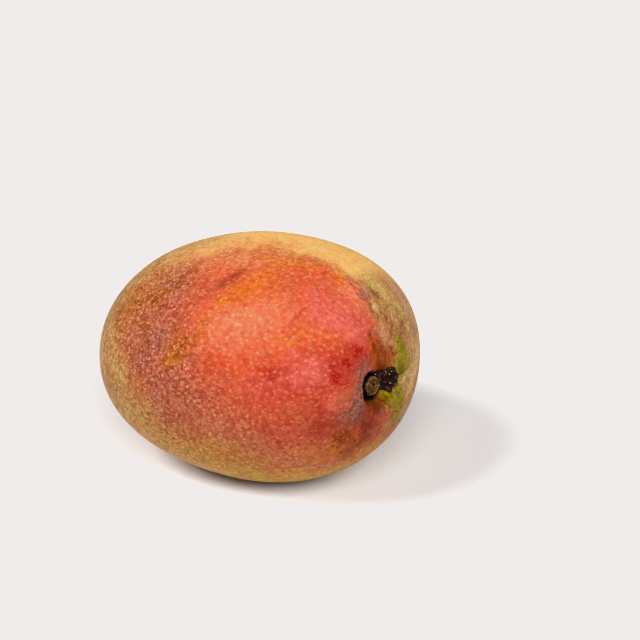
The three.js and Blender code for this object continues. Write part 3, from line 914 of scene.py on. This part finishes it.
# Darker scrapes and streaks, and painted shade low on the fruit.
colour = tint(colour, BRUISE_AND_PAINTED_SHADE, fade(bruise_and_shade_map, 0.05, 0.8), "MULTIPLY")
net = reckon("MULTIPLY_ADD", small, 3.4, reckon("MULTIPLY", between, 0.7))
net = reckon("MULTIPLY", net, dots_map)
net = reckon("MULTIPLY", net, fade(dusk_map, 0, 0.8, 0.5, 1.15))
colour = tint(colour, NET_SHADE, net, "MULTIPLY")
grit = fade(reckon("MULTIPLY_ADD", small, 0.5, fine), -0.14, 0.20)
grit_share = reckon("MULTIPLY_ADD", mottle_map, 0.3, fade(dusk_map, 0, 0.8, 0.5, 0.95))
grit_share = reckon("MULTIPLY_ADD", haze_and_shade_map, 0.35, grit_share)
grit = reckon("MULTIPLY", grit, grit_share)
colour = tint(colour, GRAIN_SHADE, grit, "MULTIPLY")
colour = tint(colour, pore_light, pore_show, "ADD")
# Painted shade: the skin low on the fruit is darkened where the amber ground lies.
colour = tint(colour, LOW_SHADE, amber_and_low_shade_map, "MULTIPLY")
# Sap stain and painted shadow in the stem cavity: brown at its edge and black within.
stain_and_shadow = reckon("MULTIPLY", stain_and_shadow_map, fade(patchy, -0.15, 0.15, 0.65, 1.35))
colour = tint(colour, SKIN_SCORCH_AND_SHADE, fade(stain_and_shadow, 0.05, 0.45))
colour = tint(colour, SKIN_STAIN_AND_SHADOW, fade(stain_and_shadow, 0.3, 0.85))
feed(shader.inputs["Base Color"], colour)

gloss = fade(patchy, -0.3, 0.3, *WAX_ROUGHNESS)
feed(shader.inputs["Roughness"], reckon("MULTIPLY_ADD", haze_and_shade_map, HAZE_ROUGHNESS, gloss))
shader.inputs["IOR"].default_value = WAX_IOR
relief = reckon("MULTIPLY_ADD", pore, 0.6, reckon("MULTIPLY", fine, 0.7))
relief = reckon("MULTIPLY_ADD", brushed, reckon("MULTIPLY", haze_and_shade_map, 4.0), relief)
raised(shader, relief, SKIN_RELIEF, SKIN_RELIEF_DEPTH)

fruit.data.materials.append(skin)
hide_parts("mango_fruit")
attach(fruit, "root")


# ---------------------------------------------------------------------------------------------
# The stem button: the woody end of the fruit stalk, seven millimetres across, still in its
# socket. Dry grey-tan wood with a raised, cracked rim, a brown core and a small pith hole.
# ---------------------------------------------------------------------------------------------
BUTTON_SEGMENTS = 120
BUTTON_PROFILE = (
    (3.1, -1.6), (3.25, -1.0), (3.3, -0.3), (3.25, 0.3), (3.1, 0.75), (2.85, 0.95), (2.55, 0.95),
    (2.25, 0.75), (2.0, 0.55), (1.6, 0.45), (1.1, 0.55), (0.6, 0.55), (0.0, 0.5),
)
BUTTON_FINE = 5
MERGE_REACH = 0.0005
CRACKS_ROUND = 3.1
CRACK_DRIFT = 0.25
CRACK_DEPTH = 0.5
CRACK_FADE = (1.0, 2.6)
WORN_WAVES = 1.6
WORN_DEPTH = 0.28
TOP_FADE = (-0.2, 0.5)
OUT_OF_ROUND = 0.035
OUT_OF_ROUND_WAVES = 1.5
OUT_OF_ROUND_PLACE = 4.2
PITH_PLACE = Vector((1.15, 0.05, 0))
PITH_REACH = 0.52
PITH_DEPTH = 0.9
PITH_RING = 0.85
PITH_RING_WIDTH = 0.22
PITH_RING_RISE = 0.18
stem_turn = Matrix((stem_across, stem_up, stem_axis)).transposed()

button_mesh = bmesh.new()
outline = [button_mesh.verts.new((radius_here, 0, rise)) for radius_here, rise in BUTTON_PROFILE]
edges = [button_mesh.edges.new(pair) for pair in zip(outline, outline[1:])]
bmesh.ops.subdivide_edges(button_mesh, edges=edges, cuts=BUTTON_FINE)
bmesh.ops.spin(
    button_mesh, geom=button_mesh.verts[:] + button_mesh.edges[:], cent=(0, 0, 0),
    axis=(0, 0, 1), angle=math.tau, steps=BUTTON_SEGMENTS, use_merge=True,
)
bmesh.ops.remove_doubles(button_mesh, verts=button_mesh.verts, dist=MERGE_REACH)
for vertex in button_mesh.verts:
    place = vertex.co.copy()
    distance = math.hypot(place.x, place.y)
    angle = math.atan2(place.y, place.x)
    crack = max(noise.noise(Vector((
        math.cos(angle) * CRACKS_ROUND, math.sin(angle) * CRACKS_ROUND, distance * CRACK_DRIFT
    ))), 0)
    worn_away = WORN_DEPTH * noise.noise(place * WORN_WAVES)
    lift = soft_step(place.z, *TOP_FADE)
    vertex.co.z += lift * (worn_away - CRACK_DEPTH * crack * soft_step(distance, *CRACK_FADE))
    from_pith = math.hypot(place.x - PITH_PLACE.x, place.y - PITH_PLACE.y)
    vertex.co.z -= lift * PITH_DEPTH * math.exp(-((from_pith / PITH_REACH) ** 2))
    from_ring = (from_pith - PITH_RING) / PITH_RING_WIDTH
    vertex.co.z += lift * PITH_RING_RISE * math.exp(-(from_ring**2))
    round_place = Vector((math.cos(angle), math.sin(angle), OUT_OF_ROUND_PLACE))
    swell = 1 + OUT_OF_ROUND * noise.noise(round_place * OUT_OF_ROUND_WAVES)
    vertex.co.x *= swell
    vertex.co.y *= swell
smooth_faces(button_mesh)
button_places = np.array([vertex.co for vertex in button_mesh.verts])
bmesh.ops.transform(
    button_mesh, verts=button_mesh.verts,
    matrix=Matrix.Scale(MM, 4) @ Matrix.Translation(stem_floor) @ stem_turn.to_4x4(),
)
button = finished_piece("stem_wood", button_mesh)
keep_on(button, "face_place", button_places)

WOOD_TAN = (0.20, 0.085, 0.018)
WOOD_GREY = (0.085, 0.050, 0.012)
WOOD_RUST = (0.34, 0.13, 0.025)
WOOD_PALE = (0.40, 0.27, 0.100)
WOOD_BLACK_AND_SHADE = (0.010, 0.006, 0.004)
WOOD_WAVES = 1.6
WOOD_PATCH_WAVES = 0.55
WOOD_SWAY = (0.8, 0.6)
RUST_PLACE = (-0.55, 0.4, 0.3)
RUST_SIZE = (0.55, 1.5, 5)
RIM_PLACE = (0, 0, 0.5)
RIM_SIZE = (3.3, 3.3, 9)
PITH_RING_SIZE = (1.15, 1.15, 5)
PITH_HOLE_SIZE = (0.66, 0.66, 5)
SIDE_FADE = (0, 0.45)
WOOD_ROUGHNESS = 0.75
WOOD_SHINE = 0.04
WOOD_RELIEF = 0.6
WOOD_RELIEF_DEPTH = 0.2


def nearness_to(place, middle, size):
    """1 at a middle, falling to 0 at an ellipsoid's surface round it."""
    tree = place.id_data
    moved = tree.nodes.new("ShaderNodeVectorMath")
    moved.operation = "SUBTRACT"
    feed(moved.inputs[0], place)
    moved.inputs[1].default_value = middle
    sized = tree.nodes.new("ShaderNodeVectorMath")
    sized.operation = "DIVIDE"
    feed(sized.inputs[0], moved.outputs[0])
    sized.inputs[1].default_value = size
    length = tree.nodes.new("ShaderNodeVectorMath")
    length.operation = "LENGTH"
    feed(length.inputs[0], sized.outputs[0])
    return fade(length.outputs["Value"], 0, 1, 1, 0)


wood, tree, shader = finish_tree("stem_wood")
face_place = kept(tree, "face_place")
wood_grain = grain(face_place, WOOD_WAVES, 4, 0.65)
wood_patch = grain(face_place, WOOD_PATCH_WAVES, 3)
colour = tint(WOOD_GREY, WOOD_TAN, fade(wood_patch, 0.40, 0.62))
rust = nearness_to(swayed(face_place, *WOOD_SWAY), RUST_PLACE, RUST_SIZE)
colour = tint(colour, WOOD_RUST, fade(rust, 0.1, 0.6))
# The raised rim is paler, partly a painted highlight on its edge.
rim_near = nearness_to(face_place, RIM_PLACE, RIM_SIZE)
pale_rim = reckon("MULTIPLY", fade(rim_near, 0.02, 0.2, 1, 0), fade(wood_patch, 0.40, 0.58, 0.1, 0.9))
colour = tint(colour, WOOD_PALE, pale_rim)
pith_ring = nearness_to(face_place, PITH_PLACE, PITH_RING_SIZE)
colour = tint(colour, WOOD_PALE, fade(pith_ring, 0.0, 0.35, 0, 0.6))
colour = tint(colour, WOOD_BLACK_AND_SHADE, fade(wood_grain, 0.47, 0.60, 0, 0.9))
# Painted shade: the pith hole is coloured black.
pith_hole_shade = nearness_to(face_place, PITH_PLACE, PITH_HOLE_SIZE)
colour = tint(colour, WOOD_BLACK_AND_SHADE, fade(pith_hole_shade, 0.1, 0.4))
# Painted shadow: the button's sides, down in the socket, are coloured black.
painted_side_shadow = fade(part_of(face_place, 2), *SIDE_FADE, 1, 0)
colour = tint(colour, WOOD_BLACK_AND_SHADE, painted_side_shadow)
feed(shader.inputs["Base Color"], colour)
shader.inputs["Roughness"].default_value = WOOD_ROUGHNESS
shader.inputs["Specular IOR Level"].default_value = WOOD_SHINE
raised(shader, wood_grain, WOOD_RELIEF, WOOD_RELIEF_DEPTH)
button.data.materials.append(wood)
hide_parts("stem_button")
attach(button, "root")


# ---------------------------------------------------------------------------------------------
# The sap crust: dried sap that ran from the stalk and set hard on the far wall of the cavity.
# A black-purple, knobbly scab of small beads with a few pale specks, stuck to the skin. The specks
# are partly painted glints.
# ---------------------------------------------------------------------------------------------
CRUST_MIDDLE = (6.5, 0.3)
CRUST_HALF_ACROSS = 5.2
CRUST_HALF_UP = 4.5
CRUST_THICKNESS = 1.5
CRUST_BEADS = 0.95
CRUST_EDGE = 0.30
CRUST_EDGE_WAVES = 2.2
CRUST_EDGE_PLACE = 0.7
CRUST_TRIM = 0.06
CRUST_TIP_TURN = 0.1
CRUST_TIP_WIDTH = 0.3
CRUST_TIP = 0.16
CRUST_FULLNESS = 0.6
CRUST_SINK = 0.5
CRUST_SOAK = 0.05
CRUST_LEAN = 0.4
BEAD_SHARE = 0.7
BEAD_STEEPNESS = 1.3
CRUMB_SHARE = 0.25
CRUMB_WAVES = 2.6
CRUMB_PLACE = 3
CRUST_FINENESS = 6
ABOVE_CAVITY = 10

crust_mesh = bmesh.new()
bmesh.ops.create_icosphere(crust_mesh, subdivisions=CRUST_FINENESS, radius=1)
for vertex in crust_mesh.verts:
    place = vertex.co.copy()
    angle = math.atan2(place.y, place.x)
    round_place = Vector((math.cos(angle), math.sin(angle), CRUST_EDGE_PLACE))
    edge = 1 + CRUST_EDGE * noise.noise(round_place * CRUST_EDGE_WAVES)
    from_tip = (angle - CRUST_TIP_TURN) / CRUST_TIP_WIDTH
    edge += CRUST_TIP * math.exp(-(from_tip**2)) - CRUST_TRIM
    across = CRUST_MIDDLE[0] + CRUST_HALF_ACROSS * place.x * edge
    up = CRUST_MIDDLE[1] + CRUST_HALF_UP * place.y * edge
    above = stem_place + stem_across * across + stem_up * up + stem_axis * ABOVE_CAVITY
    wall_place, wall_normal, *_ = skin_tree.ray_cast(above, -stem_axis)
    from_bead = noise.voronoi(Vector((across, up, 0)) * CRUST_BEADS)[0][0]
    bead = 1 - min(from_bead * BEAD_STEEPNESS, 1) ** 2
    crumb = CRUMB_SHARE * noise.noise(Vector((across, up, CRUMB_PLACE)) * CRUMB_WAVES)
    lift = CRUST_THICKNESS * max(place.z, 0) ** CRUST_FULLNESS
    lift *= (1 - BEAD_SHARE) + BEAD_SHARE * bead + crumb
    lift += min(place.z, 0) * CRUST_SINK - CRUST_SOAK
    outward = wall_normal * (1 - CRUST_LEAN) + stem_axis * CRUST_LEAN
    vertex.co = wall_place + outward.normalized() * lift
smooth_faces(crust_mesh)
bmesh.ops.scale(crust_mesh, verts=crust_mesh.verts, vec=(MM, MM, MM))
crust = finished_piece("dried_sap", crust_mesh)

SAP_BLACK = (0.020, 0.006, 0.003)
SAP_PLUM = (0.120, 0.030, 0.018)
SAP_CREAM_AND_GLINT = (0.62, 0.50, 0.36)
SAP_WAVES = 700
SAP_GRAIN_WAVES = 1500
SPECKS = 900
SPECK_SWAY = (1500, 0.0006)
SPECK_EDGE = (0.16, 0.28)
SPECK_CHOICE = (0.5, 0.55)
SAP_ROUGHNESS = 0.32
SAP_SHINE = 0.06
SAP_RELIEF = 0.6
SAP_RELIEF_DEPTH = 0.2

sap, tree, shader = finish_tree("dried_sap")
coordinates = tree.nodes.new("ShaderNodeTexCoord").outputs["Object"]
colour = tint(SAP_BLACK, SAP_PLUM, fade(grain(coordinates, SAP_WAVES, 3), 0.49, 0.70))
specks = tree.nodes.new("ShaderNodeTexVoronoi")
feed(specks.inputs["Vector"], swayed(coordinates, *SPECK_SWAY))
specks.inputs["Scale"].default_value = SPECKS
speck_and_glint = fade(specks.outputs["Distance"], *SPECK_EDGE, 1, 0)
chosen = fade(part_of(specks.outputs["Color"], 0), *SPECK_CHOICE)
# Pale specks, partly painted glints on the beads.
colour = tint(colour, SAP_CREAM_AND_GLINT, reckon("MULTIPLY", speck_and_glint, chosen))
feed(shader.inputs["Base Color"], colour)
shader.inputs["Roughness"].default_value = SAP_ROUGHNESS
shader.inputs["Specular IOR Level"].default_value = SAP_SHINE
raised(shader, grain(coordinates, SAP_GRAIN_WAVES, 3), SAP_RELIEF, SAP_RELIEF_DEPTH)
crust.data.materials.append(sap)
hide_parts("sap_crust")
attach(crust, "root")


# ---------------------------------------------------------------------------------------------
# The studio: a plain pale paper floor inside a faint white tent. Three soft lights reach only
# the paper and cast its shadows, and two broader ones reach only the fruit.
# The camera looks down at the fruit's blushed side, with the stem end on the right.
# ---------------------------------------------------------------------------------------------
FLOOR_WIDTH_M = 12
FLOOR_COLOUR = (0.600, 0.580, 0.575)
TENT_COLOUR = (1, 1, 1)
TENT_STRENGTH = 0.05

floor_mesh = bmesh.new()
bmesh.ops.create_grid(floor_mesh, x_segments=1, y_segments=1, size=FLOOR_WIDTH_M / 2)
floor = finished_piece("floor", floor_mesh)
paper, tree, shader = finish_tree("floor_paper")
feed(shader.inputs["Base Color"], FLOOR_COLOUR)
shader.inputs["Roughness"].default_value = 1
shader.inputs["Specular IOR Level"].default_value = 0
floor.data.materials.append(paper)

world = bpy.data.worlds.new("tent")
bpy.context.scene.world = world
world.use_nodes = True
tent = world.node_tree.nodes["Background"]
feed(tent.inputs["Color"], TENT_COLOUR)
tent.inputs["Strength"].default_value = TENT_STRENGTH


def direction_to(turn, rise):
    """The way to a place turn degrees round from the fruit's side and rise degrees up."""
    turn, rise = math.radians(turn), math.radians(rise)
    return Vector((
        math.sin(turn) * math.cos(rise), -math.cos(turn) * math.cos(rise), math.sin(rise)
    ))


def soft_light(name, strength, spread, turn, rise, lit):
    """A far light that reaches only the pieces named; its angles are in degrees."""
    lamp = bpy.data.lights.new(name, "SUN")
    lamp.energy = strength
    lamp.angle = math.radians(spread)
    light = bpy.data.objects.new(name, lamp)
    light.rotation_euler = direction_to(turn, rise).to_track_quat("Z", "Y").to_euler()
    bpy.context.scene.collection.objects.link(light)
    group = bpy.data.collections.new(name)
    for piece in lit:
        group.objects.link(piece)
    light.light_linking.receiver_collection = group


whole_fruit = [fruit, button, crust]
soft_light("floor_left", strength=4.1, spread=26, turn=-30, rise=45, lit=[floor])
soft_light("floor_front", strength=2.9, spread=26, turn=31, rise=35, lit=[floor])
soft_light("floor_right", strength=3.3, spread=26, turn=62, rise=35, lit=[floor])
soft_light("fruit_light", strength=3.45, spread=60, turn=12, rise=69, lit=whole_fruit)
soft_light("fruit_fill", strength=0.12, spread=170, turn=10, rise=50, lit=whole_fruit)

CAMERA_TURN = 31
CAMERA_RISE = 21.1
CAMERA_DISTANCE = 900
LOOK_AT = Vector((13.8, 13.4, 50.4))
SEEN_WIDTH = 221.2
SENSOR_WIDTH = 36
NEAREST_SEEN_M = 0.01
FARTHEST_SEEN_M = 50
backward = direction_to(CAMERA_TURN, CAMERA_RISE)
lens = bpy.data.cameras.new("camera")
lens.sensor_width = SENSOR_WIDTH
lens.lens = SENSOR_WIDTH * CAMERA_DISTANCE / SEEN_WIDTH
lens.clip_start = NEAREST_SEEN_M
lens.clip_end = FARTHEST_SEEN_M
camera = bpy.data.objects.new("camera", lens)
camera.location = (LOOK_AT + backward * CAMERA_DISTANCE) * MM
camera.rotation_euler = backward.to_track_quat("Z", "Y").to_euler()
bpy.context.scene.collection.objects.link(camera)
bpy.context.scene.camera = camera

# The paper is lit past white, and each channel's curve holds it at this pale tone.
PAPER_WHITE = (0.8714, 0.8388, 0.8308)
view = bpy.context.scene.view_settings
view.view_transform = "Standard"
view.use_curve_mapping = True
view.curve_mapping.extend = "HORIZONTAL"
for curve, white in zip(view.curve_mapping.curves, PAPER_WHITE):
    held = curve.points.new(white, white)
    held.handle_type = "VECTOR"
    curve.points[-1].location = (1, white)
    for point in curve.points:
        point.handle_type = "VECTOR"
view.curve_mapping.update()
